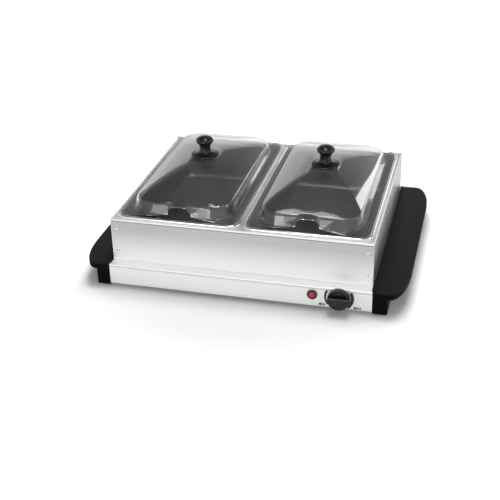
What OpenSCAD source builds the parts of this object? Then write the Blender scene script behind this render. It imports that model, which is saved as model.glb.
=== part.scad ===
// Two-pan buffet server: a warming base, a frame that lifts off it, two lift-out pans and clear lids.
// Millimetres, Z up, front towards -Y. The origin is on the table, under the middle of the object.

/* [Frame] */
// Outside width of the frame that holds the pans
frame_w = 357; // [340:1:380]
// Outside depth of the frame
frame_d = 300; // [280:1:330]
// Height of the frame walls above the base
frame_h = 61.8; // [54:0.2:74]
// Sheet thickness of the frame
frame_sheet = 1.2; // [0.8:0.1:1.5]
// Outside radius of the fold along the top of each wall
frame_bend = 2; // [1.8:0.1:3]
// Inward width of the foot that stands on the base
foot_flange = 9; // [6:1:14]
// Diameter of the rolled bead along the foot of each wall
foot_bead = 2.4; // [2:0.2:3]
// How far that bead stands out of the wall
bead_out = 0.8; // [0.4:0.1:1]
// Height of the rail between the pans
rail_h = 14; // [8:1:24]
// Width of the tabs that join the walls at the corners
corner_tab = 17; // [14:1:24]
// Distance of the rivets from the ends of the frame
rivet_edge = 7.5; // [6:0.5:9]
// Height of the lower rivets above the base
rivet_low = 15.9; // [10:0.1:20]
// Height of the upper rivets above the base
rivet_high = 46.5; // [36:0.1:50]
// Rivet shank diameter
rivet_d = 2.6; // [2:0.1:3.2]
// Rivet head diameter
rivet_head = 5; // [4:0.2:6]
// Height of a rivet's head and of its clenched tail
rivet_head_h = 0.9; // [0.6:0.1:1.2]
// Diameter of a rivet's clenched tail
rivet_tail = 4; // [3.4:0.2:5]

/* [Pans] */
// Width of frame top that shows outside the pan rims
rim_margin = 4; // [3:0.5:6]
// Gap between the rims of the two pans
pan_gap = 1; // [0.6:0.2:2]
// Width of the flat pan rim
rim_w = 4.5; // [4:0.5:6]
// Height of the rim above the frame
rim_drop = 3.2; // [2.4:0.2:4]
// Corner radius of the pan rim
rim_corner = 18; // [15:1:22]
// Sheet thickness of the pans
pan_sheet = 1; // [0.8:0.1:1.2]
// Clearance between a pan's shoulder and the frame opening
pan_clear = 1; // [0.6:0.1:1.4]
// Depth of the lid ledge below the rim
ledge_drop = 3; // [2:0.2:5]
// Width of the ledge that the lid rests on
ledge_w = 3.5; // [3:0.5:5]
// Corner radius of the well
well_corner = 16; // [12:1:20]
// How far each well wall leans in by the bottom
well_draft = 7; // [2:0.5:12]
// Radius of the well's bottom edge
well_edge = 5; // [3:0.5:8]
// Air gap between a pan and the base
pan_lift = 2.5; // [1.5:0.5:5]

/* [Lids] */
// Gap between the lid's flange and the pan's shoulder
lid_gap = 1.2; // [1:0.1:1.6]
// Wall thickness of the lid
lid_t = 2; // [1.5:0.1:2.4]
// Width of the lid's flange
lid_flange = 9.8; // [8:0.2:11]
// Corner radius of the flange
flange_corner = 13; // [12:0.5:16]
// Corner radius of the dome at its foot
dome_corner = 31; // [24:1:40]
// Height of the dome's steep wall
dome_wall = 16.5; // [12:0.5:22]
// How far the steep wall leans in
dome_inset = 4; // [2:0.5:7]
// Rise of the crowned top above the steep wall
dome_rise = 19; // [12:0.5:26]
// Width of the ladle notch in the front wall
notch_w = 32; // [24:1:40]
// Height of the ladle notch
notch_h = 15; // [13:0.5:16]
// Corner radius of the ladle notch
notch_corner = 11.5; // [6:0.5:11.5]
// Diameter of the boss under the knob
boss_d = 37; // [30:1:44]
// Height of the boss above the crown
boss_up = 0.5; // [0.2:0.1:1.5]
// Extra thickness of the lid inside the boss
boss_down = 0.8; // [0.4:0.1:1.5]

/* [Lid knobs] */
// Diameter of the flared foot
knob_foot = 40; // [34:1:46]
// Thickness of the flared foot's edge
knob_edge = 2; // [1.5:0.5:3]
// Diameter of the neck
knob_neck = 16.5; // [13:0.5:18]
// Diameter of the bulb
knob_bulb = 25.5; // [21:0.5:30]
// Height of the flare from the edge to the neck
knob_flare_h = 6; // [4:0.5:9]
// Height of the neck
knob_neck_h = 7.5; // [4:0.5:9]
// Height of the bulb
knob_bulb_h = 13; // [11:0.5:16]
// Height of the bulb above its widest ring
knob_crown_h = 7; // [5:0.1:8]
// Diameter of the screw that holds the knob
knob_screw_d = 4; // [3:0.5:5]
// How far that screw enters the knob
knob_screw_in = 12; // [8:1:14]

/* [Base] */
// Height of the base's top above the table
base_top = 34.5; // [32:0.5:40]
// Height of the folded skirt
base_skirt = 29.2; // [28:0.2:30]
// Ledge of the base in front of and behind the frame
base_ledge = 15; // [12:1:24]
// Ledge of the base beside the frame
base_end = 1.5; // [0.5:0.5:8]
// Sheet thickness of the base
base_sheet = 1; // [0.8:0.1:1.2]
// Outside radius of the base's folded edges
base_bend = 2.5; // [2:0.1:4]
// Width of the lips that return under the base
base_lip = 14; // [12:1:18]
// Gap between the bottom cover and the skirts
cover_edge = 3; // [2:0.5:5]
// Gap between the bottom cover and the end caps
cover_end = 1.5; // [1:0.5:4]
// Distance of the cover screws from the skirts
cover_screw_edge = 7; // [6:0.5:9]
// Spacing of the cover screws along the base
cover_screw_pitch = 120; // [90:5:140]
// Diameter of the screws under the base
screw_d = 3; // [2.5:0.1:3.5]
// Diameter of their heads
screw_head = 6; // [5:0.5:7]
// Height of their heads
screw_head_h = 1.8; // [1.2:0.1:2]

/* [Handles] */
// Width of the end cap that closes the base
cap_w = 20; // [19:1:24]
// Gap between the cap and the table
cap_clear = 1.8; // [1.5:0.1:3]
// Wall thickness of the cap
cap_wall = 3; // [2.5:0.1:4]
// Reach of the wing handle beyond the base
wing_reach = 43.6; // [38:0.2:50]
// Thickness of the wing
wing_t = 10; // [8:0.5:13]
// Step from the base's top down to the wing's top
wing_step = 0.6; // [0.2:0.1:2]
// Straight length of the wing's front and rear edges
wing_straight = 22; // [21:1:26]
// Length of the wing's rounded corner along the side
wing_corner = 66; // [50:1:80]
// Edge rounding under the wing
wing_under = 3.5; // [2:0.5:4]
// Edge rounding on top of the wing
wing_over = 1.2; // [0.6:0.2:2]
// Length of the tongue inside the base
tongue = 5; // [4:0.5:8]
// Wall thickness of that tongue
tongue_wall = 2; // [1.6:0.1:3]
// Fit of the tongue in the base
tongue_fit = 0.2; // [0.1:0.05:0.4]
// Distance of the handle screws from the ends of the base
handle_screw_in = 8; // [7:0.5:9]
// Length and width of the bosses that take the handle screws
handle_boss = 13; // [12:0.5:14]
// Height of those bosses
handle_boss_h = 12; // [8:1:14]

/* [Feet] */
// Foot diameter
foot_d = 15; // [12:0.5:16]
// Depth of the recess that the foot sits in
foot_recess = 1.2; // [0.8:0.1:1.4]
// Foot stem diameter
foot_stem = 7; // [5:0.5:8]
// Flare and height of the barb that keeps the foot in
foot_barb = 2; // [1:0.5:3]
// Distance of the feet from the front and rear faces
foot_inset = 25; // [18:1:40]

/* [Heater] */
// Distance of the spreader plate from the ends of the base
spreader_end = 28; // [26:1:36]
// Distance of the spreader plate from the skirts
spreader_edge = 33; // [31:1:40]
// Thickness of the spreader plate
spreader_t = 1.5; // [1:0.1:2]
// Diameter of the heating element
element_d = 6; // [5:0.5:6.5]
// Number of passes of the element
element_passes = 6; // [4:2:6]
// Spacing of the passes
element_pitch = 40; // [34:1:42]
// Length of a straight pass
element_run = 220; // [180:5:230]
// Length of the cold ends
cold_end = 20; // [14:1:22]
// Diameter of the connection pins
cold_pin = 3; // [2.5:0.1:3.5]
// Length of the connection pins
cold_pin_len = 8; // [6:0.5:9]
// Sheet thickness of the clips
clip_t = 0.6; // [0.5:0.1:0.8]
// Width of a clip
clip_w = 8; // [6:0.5:10]
// Length of a clip's ears
clip_ear = 5; // [4:0.5:7]
// Thickness of the insulation pad
pad_t = 8; // [6:0.5:9]
// Length of spreader that shows past each end of the pad
pad_end = 12; // [10:1:16]
// Sheet thickness of the heat shield
shield_t = 0.8; // [0.6:0.1:1]
// Width of the heat shield's flanges
shield_flange = 9; // [8.5:0.5:10]
// Margin of spreader outside those flanges
shield_margin = 1; // [0.5:0.5:3]
// Distance of the studs from the middle of the base
stud_x = 110; // [80:5:130]
// Stud diameter
stud_d = 4; // [3:0.5:4]
// Stud length below the base's top sheet
stud_len = 9; // [7:0.5:11]
// Width across the flats of the stud nuts
stud_nut = 7; // [5.5:0.5:7]
// Height of the stud nuts
stud_nut_h = 3.2; // [2.4:0.2:3.6]

/* [Control] */
// Dial axis from the right end of the base
dial_end = 43; // [36:0.5:50]
// Dial axis below the base's top
dial_drop = 13.5; // [13:0.1:15]
// Dial diameter
dial_d = 29.5; // [28:0.5:31]
// Dial height in front of the skirt
dial_h = 13; // [12.5:0.5:16]
// Height of the dial's disc, without its grip
dial_disc_h = 8.5; // [7.5:0.5:9.5]
// Width of the grip bar
grip_w = 9; // [7:0.5:10]
// Width of the dial's bevelled edges
dial_soft = 1; // [0.5:0.1:1.5]
// Running gap behind the dial
dial_gap = 0.6; // [0.4:0.1:1]
// Diameter of the hollow behind the dial
dial_hollow_d = 20; // [18.5:0.5:21]
// Depth of that hollow
dial_hollow_h = 6; // [5.6:0.1:6.4]
// Diameter of the thermostat's shaft
shaft_d = 6; // [5:0.5:6]
// Flat on the shaft, cut this deep
shaft_flat = 1.2; // [0.8:0.1:1.6]
// How far the shaft enters the dial
shaft_in = 5.5; // [4.5:0.5:5.5]
// Diametral clearance on the shaft
shaft_fit = 0.1; // [0.06:0.02:0.18]
// Diameter of the thermostat's bush
bush_d = 9.5; // [9:0.1:10]
// Length of the bush in front of the skirt
bush_h = 5; // [4:0.1:5.4]
// Width across the flats of the bush's nut
bush_nut = 13; // [12:0.5:14]
// Height of that nut
bush_nut_h = 2.5; // [2:0.1:3.5]
// Width of the thermostat body
stat_w = 24; // [20:0.5:26]
// Height of the thermostat body
stat_h = 22; // [18:0.5:24]
// Depth of the thermostat body
stat_d = 20; // [17:0.5:22]
// Length of the thermostat's blades
blade_len = 8; // [6:0.5:8]
// Width of a blade
blade_w = 6; // [4:0.2:6.3]
// Thickness of a blade
blade_t = 0.8; // [0.5:0.1:1]
// Spacing of the blades
blade_pitch = 12; // [10:0.5:14]
// How far the shaft enters the thermostat body
shaft_root = 13; // [10:0.5:15]

/* [Lamp] */
// Lamp axis left of the dial's
lamp_left = 35.5; // [29:0.5:45]
// Lamp axis below the base's top
lamp_drop = 12.5; // [11:0.1:15]
// Diameter of the bezel's rim
bezel_d = 13.6; // [12.8:0.1:14.5]
// Height of the bezel's rim
bezel_h = 1.6; // [1:0.1:2.5]
// Diameter of the bezel's barrel
barrel_d = 10.6; // [10:0.1:11]
// Length of the barrel behind the skirt's face
barrel_len = 16; // [14:0.5:18]
// Thickness of the barrel's rear wall
barrel_wall = 1.5; // [1:0.1:2]
// Diameter of the lens
lens_d = 8.2; // [8:0.1:9]
// Height of the lens's dome
lens_dome = 1.2; // [0.6:0.1:2]
// Length of the lens inside the barrel
lens_len = 6; // [4:0.5:7]
// Diameter of the neon bulb
bulb_d = 5; // [4:0.1:5.5]
// Length of the neon bulb
bulb_len = 12; // [10:0.5:12.5]
// Width of the spring ring that holds the lamp
lamp_ring = 2; // [1.5:0.1:3]
// Thickness of that ring
lamp_ring_t = 0.9; // [0.6:0.1:1.5]

/* [Wiring] */
// Cord entry from the right end of the base
gland_end = 60; // [50:1:65]
// Cord entry below the base's top
gland_drop = 14.5; // [12:0.5:16]
// Reach of the gland behind the base
gland_reach = 16; // [12:0.5:20]
// Taper of the gland's head
gland_taper = 2; // [1:0.5:3]
// Diameter of the gland's head
gland_head = 18; // [16:0.5:20]
// Diameter of the gland's thread
gland_thread = 12; // [11:0.5:13]
// Length of the thread inside the base
gland_tail = 9; // [7:0.5:11]
// Bore for the cord
gland_bore = 8; // [6:0.1:8.5]
// Width across the flats of the gland's nut
gland_nut_w = 17; // [15:0.5:18]
// Height of the gland's nut
gland_nut_h = 4; // [3:0.5:5]
// Terminal block left of the cord entry
block_left = 32; // [28:1:40]
// Terminal block length
block_w = 34; // [28:1:36]
// Spacing of its terminals
block_pitch = 10; // [8:0.5:11]
// Terminal block depth
block_d = 13; // [11:0.5:14]
// Terminal block height
block_h = 13; // [10:0.5:14]
// Diameter of the screw holes in the block
block_hole = 3.2; // [2.5:0.1:4]
// Depth of those holes
block_hole_h = 6; // [4:0.5:7]
// Diameter of the thermal fuse
fuse_d = 4; // [3.5:0.1:4.5]
// Length of the thermal fuse
fuse_len = 14; // [11:0.5:18]
// Length of the fuse's own wires
fuse_wire = 6; // [4:0.5:9]
// Lead diameter
lead_d = 2.2; // [1.8:0.1:2.6]
// Lamp lead diameter
lamp_lead_d = 1.4; // [1:0.1:1.6]
// Straight end of a lead behind its terminal
lead_end = 4; // [3:0.5:5]

/* [Fits] */
// Diametral clearance of screws, rivets and studs in their holes
hole_fit = 0.2; // [0.1:0.05:0.3]
// Gap between a lead's end and its terminal
solder_gap = 0.6; // [0.5:0.05:0.8]
// Gap between the element's clips and the pad
pad_fit = 0.3; // [0.2:0.05:0.5]

/* [Hidden] */
$fn = 64;

// Every cut runs this far past the face that it opens
cut = 1;
// Thickness of the slices that a hull is stretched over
slice = 0.02;

steel = [0.80, 0.80, 0.78];
dark_steel = [0.55, 0.55, 0.54];
aluminium = [0.72, 0.73, 0.74];
black = [0.06, 0.06, 0.06];
charcoal = [0.17, 0.17, 0.17];
clear = [0.85, 0.84, 0.85, 0.35];
cream = [0.90, 0.87, 0.78];
red = [0.78, 0.10, 0.12];

// Levels and outlines of the base
base_w = frame_w + 2 * base_end;
base_d = frame_d + 2 * base_ledge;
skirt_z = base_top - base_skirt;
lip_top = skirt_z + base_sheet;
ceiling = base_top - base_sheet;
dial_x = base_w / 2 - dial_end;
dial_z = base_top - dial_drop;
lamp_x = dial_x - lamp_left;
lamp_z = base_top - lamp_drop;
gland_x = base_w / 2 - gland_end;
gland_z = base_top - gland_drop;
cover_z = skirt_z - base_sheet;
wing_top = base_top - wing_step;
cap_front = base_d / 2;
foot_x = base_w / 2 + cap_w / 2;
foot_y = base_d / 2 - foot_inset;
handle_screw_x = base_w / 2 - handle_screw_in;
handle_screw_y = base_d / 2 - base_sheet - tongue_fit - handle_boss / 2;
cover_screw_y = base_d / 2 - cover_screw_edge;

// Levels of the heater, from the top down
spreader_w = base_w - 2 * spreader_end;
spreader_d = base_d - 2 * spreader_edge;
spreader_z = ceiling - spreader_t;
element_z = spreader_z - element_d / 2;
pad_top = element_z - element_d / 2 - clip_t - pad_fit;
pad_z = pad_top - pad_t;
pad_w = spreader_w - 2 * pad_end;
pad_d = spreader_d - 2 * (shield_margin + shield_flange + shield_t);
shield_z = pad_z - shield_t;
stud_y = pad_d / 2 + shield_t + shield_flange / 2;
element_y = element_pitch * (element_passes - 1) / 2;
pin_x = element_run / 2 + cold_end + cold_pin_len;
fuse_x = pad_w / 2 + pad_end / 2;
fuse_z = spreader_z - fuse_d / 2;

// Places of the terminals and leads
block_x = gland_x - block_left;
block_y = base_d / 2 - base_lip - hole_fit - block_d;
lead_z = skirt_z + lead_d / 2 + hole_fit;
block_lead_z = skirt_z + block_h / 3;
blade_y = -base_d / 2 + base_sheet + stat_d + blade_len;
side_x = base_w / 2 - handle_screw_in - handle_boss;

// Levels and outlines of the frame and pans
frame_top = base_top + frame_h;
frame_flange = rim_margin + rim_w - pan_sheet - pan_clear;
rail_w = pan_gap + 2 * (rim_w - pan_sheet - pan_clear);
pan_w = (frame_w - pan_gap) / 2 - rim_margin;
pan_d = frame_d - 2 * rim_margin;
pan_x = (pan_gap + pan_w) / 2;
rim_top = frame_top + rim_drop;
open_w = pan_w - 2 * rim_w;
open_d = pan_d - 2 * rim_w;
open_corner = rim_corner - rim_w;
ledge_z = rim_top - ledge_drop;
well_w = open_w - 2 * ledge_w;
well_d = open_d - 2 * ledge_w;
pan_bottom = base_top + pan_lift;

// Levels and outlines of the lids
flange_w = open_w - 2 * lid_gap;
flange_d = open_d - 2 * lid_gap;
dome_a = flange_w / 2 - lid_flange;
dome_b = flange_d / 2 - lid_flange;
shoulder_z = ledge_z + lid_t + dome_wall;
crown_z = shoulder_z + dome_rise;
boss_top = crown_z + boss_up;
boss_under = crown_z - lid_t - boss_down;
knob_h = knob_edge + knob_flare_h + knob_neck_h + knob_bulb_h;
washer_d = 3 * knob_screw_d;
washer_t = knob_screw_d / 4;
screw_head_z = boss_under - washer_t;
corner_steps = 8;
ring_len = 4 * (corner_steps + 1);
crown_steps = [1, 0.88, 0.75, 0.62, 0.48, 0.34, 0.2, 0.08];

// Outlines

module round_rect(w, d, r) {
    square([w - 2 * r, d], center = true);
    square([w, d - 2 * r], center = true);
    for (x = [-1, 1], y = [-1, 1])
        translate([x * (w / 2 - r), y * (d / 2 - r)])
            circle(r);
}

// A section standing on its base line, with its two top corners round
module round_top(w, h, r) {
    translate([-w / 2, 0])
        square([w, h - r]);
    translate([r - w / 2, 0])
        square([w - 2 * r, h]);
    for (x = [-1, 1])
        translate([x * (w / 2 - r), h - r])
            circle(r);
}

module slab(w, d, r, z, t) {
    translate([0, 0, z])
        linear_extrude(t)
            round_rect(w, d, r);
}

module band(w, d, r, inward, z, t) {
    translate([0, 0, z])
        linear_extrude(t)
            difference() {
                round_rect(w, d, r);
                round_rect(w - 2 * inward, d - 2 * inward, r - inward);
            }
}

// A section drawn in Y and Z, carried along X, and one drawn in X and Z, carried along Y
module along_x(length) {
    rotate([90, 0, 90])
        linear_extrude(length, center = true)
            children();
}

module along_y(length) {
    rotate([90, 0, 0])
        linear_extrude(length, center = true)
            children();
}

// Places on the skirts, with local Z pointing out of the base
module on_front(x, z) {
    translate([x, -base_d / 2, z])
        rotate([90, 0, 0])
            children();
}

module on_rear(x, z) {
    translate([x, base_d / 2, z])
        rotate([-90, 0, 0])
            children();
}

module post(d, z0, z1) {
    translate([0, 0, z0])
        cylinder(d = d, h = z1 - z0);
}

module hex_nut(across, bore, z0, z1) {
    difference() {
        translate([0, 0, z0])
            cylinder(d = across / cos(30), h = z1 - z0, $fn = 6);
        post(bore, z0 - cut, z1 + cut);
    }
}

// Places that repeat

module at_corners(x, y) {
    for (i = [-1, 1], j = [-1, 1])
        translate([i * x, j * y, 0])
            children();
}

module at_cover_screws() {
    for (i = [-1, 0, 1], j = [-1, 1])
        translate([i * cover_screw_pitch, j * cover_screw_y, 0])
            children();
}

module at_rivets() {
    for (i = [-1, 1], j = [0, 1], z = [rivet_low, rivet_high])
        rotate([0, 0, 180 * j])
            translate([i * (frame_w / 2 - rivet_edge), -frame_d / 2, base_top + z])
                rotate([90, 0, 0])
                    children();
}

// Base

module base_section() {
    difference() {
        translate([0, skirt_z])
            round_top(base_d, base_skirt, base_bend);
        translate([0, lip_top])
            round_top(base_d - 2 * base_sheet, base_skirt - 2 * base_sheet, base_bend - base_sheet);
        translate([base_lip - base_d / 2, skirt_z - cut])
            square([base_d - 2 * base_lip, base_sheet + 2 * cut]);
    }
}

module base_shell() {
    color(steel)
        difference() {
            along_x(base_w)
                base_section();
            on_front(dial_x, dial_z)
                post(bush_d + hole_fit, -base_sheet - cut, cut);
            on_front(lamp_x, lamp_z)
                post(barrel_d + hole_fit, -base_sheet - cut, cut);
            on_rear(gland_x, gland_z)
                post(gland_thread + hole_fit, -base_sheet - cut, cut);
            at_cover_screws()
                post(screw_d + hole_fit, skirt_z - cut, lip_top + cut);
            at_corners(handle_screw_x, handle_screw_y)
                post(screw_d + hole_fit, skirt_z - cut, lip_top + cut);
        }
}

module bottom_cover() {
    color(dark_steel)
        difference() {
            translate([cover_end - base_w / 2, cover_edge - base_d / 2, cover_z])
                cube([base_w - 2 * cover_end, base_d - 2 * cover_edge, base_sheet]);
            at_cover_screws()
                post(screw_d + hole_fit, cover_z - cut, skirt_z + cut);
            at_corners(handle_screw_x, handle_screw_y)
                post(screw_d + hole_fit, cover_z - cut, skirt_z + cut);
        }
}

module screw_up(head_z, tip_z) {
    post(screw_head, head_z - screw_head_h, head_z);
    post(screw_d, head_z - screw_head_h / 2, tip_z);
}

module cover_screws() {
    color(dark_steel)
        at_cover_screws()
            screw_up(cover_z, lip_top + screw_d);
}

module handle_screws() {
    color(dark_steel)
        at_corners(handle_screw_x, handle_screw_y)
            screw_up(cover_z, lip_top + handle_boss_h - screw_d);
}

// Plan of a wing, measured outwards from the end of the base. The corners are quarter ellipses.
function wing_corner_points(inset, side) = [
    for (t = [0 : 7.5 : 90])
        [
            wing_straight + (wing_reach - wing_straight - inset) * sin(t),
            side * (cap_front - wing_corner + (wing_corner - inset) * cos(t))
        ]
];

function reversed(points) = [for (i = [len(points) - 1 : -1 : 0]) points[i]];

function wing_outline(inset) = concat(
    [[0, inset - cap_front]],
    wing_corner_points(inset, -1),
    reversed(wing_corner_points(inset, 1)),
    [[0, cap_front - inset]]
);

module wing_slice(inset, z, t) {
    translate([0, 0, z])
        linear_extrude(t)
            polygon(wing_outline(inset));
}

module wing() {
    wing_z = wing_top - wing_t;
    hull() {
        for (t = [0, 50])
            wing_slice(wing_under * (1 - sin(t)), wing_z + wing_under * (1 - cos(t)), slice);
        wing_slice(0, wing_z + wing_under, wing_t - wing_under - wing_over);
        wing_slice(wing_over, wing_top - slice, slice);
    }
}

module tongue_section() {
    fit_d = base_d - 2 * (base_sheet + tongue_fit);
    fit_h = ceiling - lip_top - 2 * tongue_fit;
    difference() {
        translate([0, lip_top + tongue_fit])
            round_top(fit_d, fit_h, base_bend - base_sheet);
        translate([0, lip_top + tongue_fit + tongue_wall])
            round_top(fit_d - 2 * tongue_wall, fit_h - 2 * tongue_wall, base_bend - base_sheet);
    }
}

// The tongue and the two screw bosses that reach into the base
module handle_fixings() {
    boss_in = handle_screw_in + handle_boss / 2;
    translate([(cap_wall - tongue) / 2, 0, 0])
        along_x(tongue + cap_wall)
            tongue_section();
    for (side = [-1, 1])
        translate([-boss_in, side * handle_screw_y - handle_boss / 2, lip_top + tongue_fit])
            cube([boss_in + cap_wall, handle_boss, handle_boss_h]);
}

// Right-hand handle, drawn from the end of the base outwards
module handle() {
    difference() {
        union() {
            translate([0, -cap_front, cap_clear])
                cube([cap_w, base_d, wing_top - cap_clear - wing_over]);
            wing();
            handle_fixings();
        }
        difference() {
            translate([-cut, cap_wall - cap_front, cap_clear + cap_wall])
                cube([cap_w - cap_wall + cut, base_d - 2 * cap_wall, wing_top - cap_clear - 2 * cap_wall]);
            handle_fixings();
        }
        for (side = [-1, 1]) {
            translate([cap_w / 2, side * foot_y, 0]) {
                post(foot_d + hole_fit, cap_clear - cut, cap_clear + foot_recess);
                post(foot_stem + hole_fit, cap_clear - cut, cap_clear + cap_wall + cut);
            }
            translate([-handle_screw_in, side * handle_screw_y, 0])
                post(screw_d + hole_fit / 2, lip_top - cut, lip_top + handle_boss_h - screw_d / 2);
        }
    }
}

module right_handle() {
    color(black)
        translate([base_w / 2, 0, 0])
            handle();
}

module left_handle() {
    color(black)
        mirror([1, 0, 0])
            translate([base_w / 2, 0, 0])
                handle();
}

module rubber_feet() {
    stem_top = cap_clear + cap_wall;
    color(charcoal)
        at_corners(foot_x, foot_y) {
            post(foot_d, 0, cap_clear + foot_recess);
            post(foot_stem, cap_clear, stem_top);
            translate([0, 0, stem_top])
                cylinder(d1 = foot_stem + foot_barb, d2 = foot_stem - foot_barb, h = foot_barb);
        }
}

// Heater

module heat_spreader() {
    color(aluminium)
        difference() {
            translate([-spreader_w / 2, -spreader_d / 2, spreader_z])
                cube([spreader_w, spreader_d, spreader_t]);
            at_corners(stud_x, stud_y)
                post(stud_d + hole_fit, spreader_z - cut, ceiling + cut);
        }
}

module rod_x(d, x0, x1) {
    translate([x0, 0, 0])
        rotate([0, 90, 0])
            cylinder(d = d, h = x1 - x0);
}

module heating_element() {
    half = element_run / 2;
    color(dark_steel)
        translate([0, 0, element_z]) {
            for (i = [0 : element_passes - 1])
                translate([0, i * element_pitch - element_y, 0])
                    rod_x(element_d, -half, half);
            for (i = [0 : element_passes - 2])
                translate([(i % 2 == 0 ? -1 : 1) * half, (i + 0.5) * element_pitch - element_y, 0])
                    rotate([0, 0, i % 2 == 0 ? 90 : -90])
                        rotate_extrude(angle = 180)
                            translate([element_pitch / 2, 0])
                                circle(d = element_d);
            for (side = [-1, 1])
                translate([0, side * element_y, 0]) {
                    rod_x(element_d, half, half + cold_end);
                    rod_x(cold_pin, half + cold_end, pin_x);
                }
        }
}

// A strap round a rod of diameter d that lies along X against the underside of the spreader
module strap(d) {
    bore = d + 2 * hole_fit;
    rim = bore + 2 * clip_t;
    drop = d / 2;
    translate([0, 0, -drop])
        along_x(clip_w) {
            difference() {
                circle(d = rim);
                circle(d = bore);
                translate([-rim, 0])
                    square([2 * rim, rim]);
            }
            for (side = [-1, 1]) {
                translate([side * (bore + clip_t) / 2 - clip_t / 2, 0])
                    square([clip_t, drop]);
                translate([side * (bore / 2 + clip_ear / 2) - clip_ear / 2, drop - clip_t])
                    square([clip_ear, clip_t]);
            }
        }
}

module element_clips() {
    color(aluminium)
        translate([0, 0, spreader_z]) {
            for (i = [0 : element_passes - 1])
                translate([0, i * element_pitch - element_y, 0])
                    strap(element_d);
            translate([fuse_x, 0, 0])
                rotate([0, 0, 90])
                    strap(fuse_d);
        }
}

module insulation_pad() {
    color(cream)
        translate([-pad_w / 2, -pad_d / 2, pad_z])
            cube([pad_w, pad_d, pad_t]);
}

module heat_shield() {
    color(aluminium)
        difference() {
            along_x(pad_w) {
                translate([-pad_d / 2 - shield_t, shield_z])
                    square([pad_d + 2 * shield_t, shield_t]);
                for (side = [-1, 1]) {
                    translate([side * (pad_d + shield_t) / 2 - shield_t / 2, shield_z])
                        square([shield_t, spreader_z - shield_z]);
                    translate([side * stud_y - shield_flange / 2 - shield_t / 2, spreader_z - shield_t])
                        square([shield_flange + shield_t, shield_t]);
                }
            }
            at_corners(stud_x, stud_y)
                post(stud_d + hole_fit, spreader_z - shield_t - cut, spreader_z + cut);
        }
}

module shield_studs() {
    color(dark_steel)
        at_corners(stud_x, stud_y)
            post(stud_d, ceiling - stud_len, ceiling);
}

module shield_nuts() {
    nut_top = spreader_z - shield_t;
    color(dark_steel)
        at_corners(stud_x, stud_y)
            hex_nut(stud_nut, stud_d + hole_fit / 2, nut_top - stud_nut_h, nut_top);
}

// Thermostat, dial and lamp, drawn with local Z out of the front skirt

module shaft_profile(fit) {
    difference() {
        circle(d = shaft_d + fit);
        translate([-shaft_d, shaft_d / 2 - shaft_flat + fit / 2])
            square([2 * shaft_d, shaft_d]);
    }
}

module thermostat_body() {
    color(cream)
        on_front(dial_x, dial_z)
            difference() {
                union() {
                    translate([-stat_w / 2, -stat_h / 2, -base_sheet - stat_d])
                        cube([stat_w, stat_h, stat_d]);
                    post(bush_d, -base_sheet - cut, bush_h);
                    for (side = [-1, 1])
                        translate([
                            (side * blade_pitch - blade_w) / 2,
                            -blade_t / 2,
                            -base_sheet - stat_d - blade_len
                        ])
                            cube([blade_w, blade_t, blade_len + cut]);
                }
                post(shaft_d + shaft_fit, -base_sheet - shaft_root - hole_fit, bush_h + cut);
            }
}

module thermostat_nut() {
    color(dark_steel)
        on_front(dial_x, dial_z)
            hex_nut(bush_nut, bush_d + hole_fit / 2, 0, bush_nut_h);
}

module thermostat_shaft() {
    root = -base_sheet - shaft_root;
    color(dark_steel)
        on_front(dial_x, dial_z) {
            post(shaft_d, root, bush_h);
            translate([0, 0, bush_h])
                linear_extrude(dial_hollow_h + shaft_in - bush_h)
                    shaft_profile(0);
        }
}

module control_dial() {
    color(black)
        on_front(dial_x, dial_z)
            difference() {
                union() {
                    rotate_extrude()
                        polygon([
                            [0, dial_gap], [dial_d / 2, dial_gap], [dial_d / 2, dial_disc_h - dial_soft],
                            [dial_d / 2 - dial_soft, dial_disc_h], [0, dial_disc_h]
                        ]);
                    intersection() {
                        rotate_extrude()
                            polygon([
                                [0, dial_gap], [dial_d / 2 - dial_soft / 2, dial_gap],
                                [dial_d / 2 - dial_soft / 2, dial_h - 2 * dial_soft],
                                [dial_d / 2 - 3 * dial_soft, dial_h], [0, dial_h]
                            ]);
                        translate([-dial_d, -grip_w / 2, dial_disc_h - dial_soft])
                            cube([2 * dial_d, grip_w, dial_h]);
                    }
                }
                post(dial_hollow_d, dial_gap - cut, dial_hollow_h);
                translate([0, 0, dial_hollow_h - cut])
                    linear_extrude(shaft_in + cut + hole_fit)
                        shaft_profile(shaft_fit);
            }
}

module lamp_bezel() {
    wall_z = barrel_wall - barrel_len;
    color(black)
        on_front(lamp_x, lamp_z)
            difference() {
                union() {
                    post(bezel_d, 0, bezel_h);
                    post(barrel_d, -barrel_len, bezel_h);
                }
                post(lens_d + hole_fit, wall_z, bezel_h + cut);
                post(bulb_d + hole_fit, -barrel_len - cut, wall_z + cut);
            }
}

module lamp_lens() {
    ball_r = (pow(lens_d / 2, 2) + pow(lens_dome, 2)) / (2 * lens_dome);
    color(red)
        on_front(lamp_x, lamp_z) {
            post(lens_d, bezel_h - lens_len, bezel_h);
            intersection() {
                translate([0, 0, bezel_h + lens_dome - ball_r])
                    sphere(ball_r);
                post(lens_d, bezel_h - cut, bezel_h + 2 * lens_dome);
            }
        }
}

module neon_bulb() {
    front = bezel_h - lens_len - hole_fit;
    color("orange")
        on_front(lamp_x, lamp_z) {
            post(bulb_d, front - bulb_len, front - bulb_d / 2);
            translate([0, 0, front - bulb_d / 2])
                sphere(d = bulb_d);
        }
}

module lamp_clip() {
    color(dark_steel)
        on_front(lamp_x, lamp_z)
            difference() {
                post(barrel_d + 2 * lamp_ring, -base_sheet - lamp_ring_t, -base_sheet);
                post(barrel_d + hole_fit / 2, -base_sheet - lamp_ring_t - cut, cut);
            }
}

// Terminals, leads and the cord entry

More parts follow.
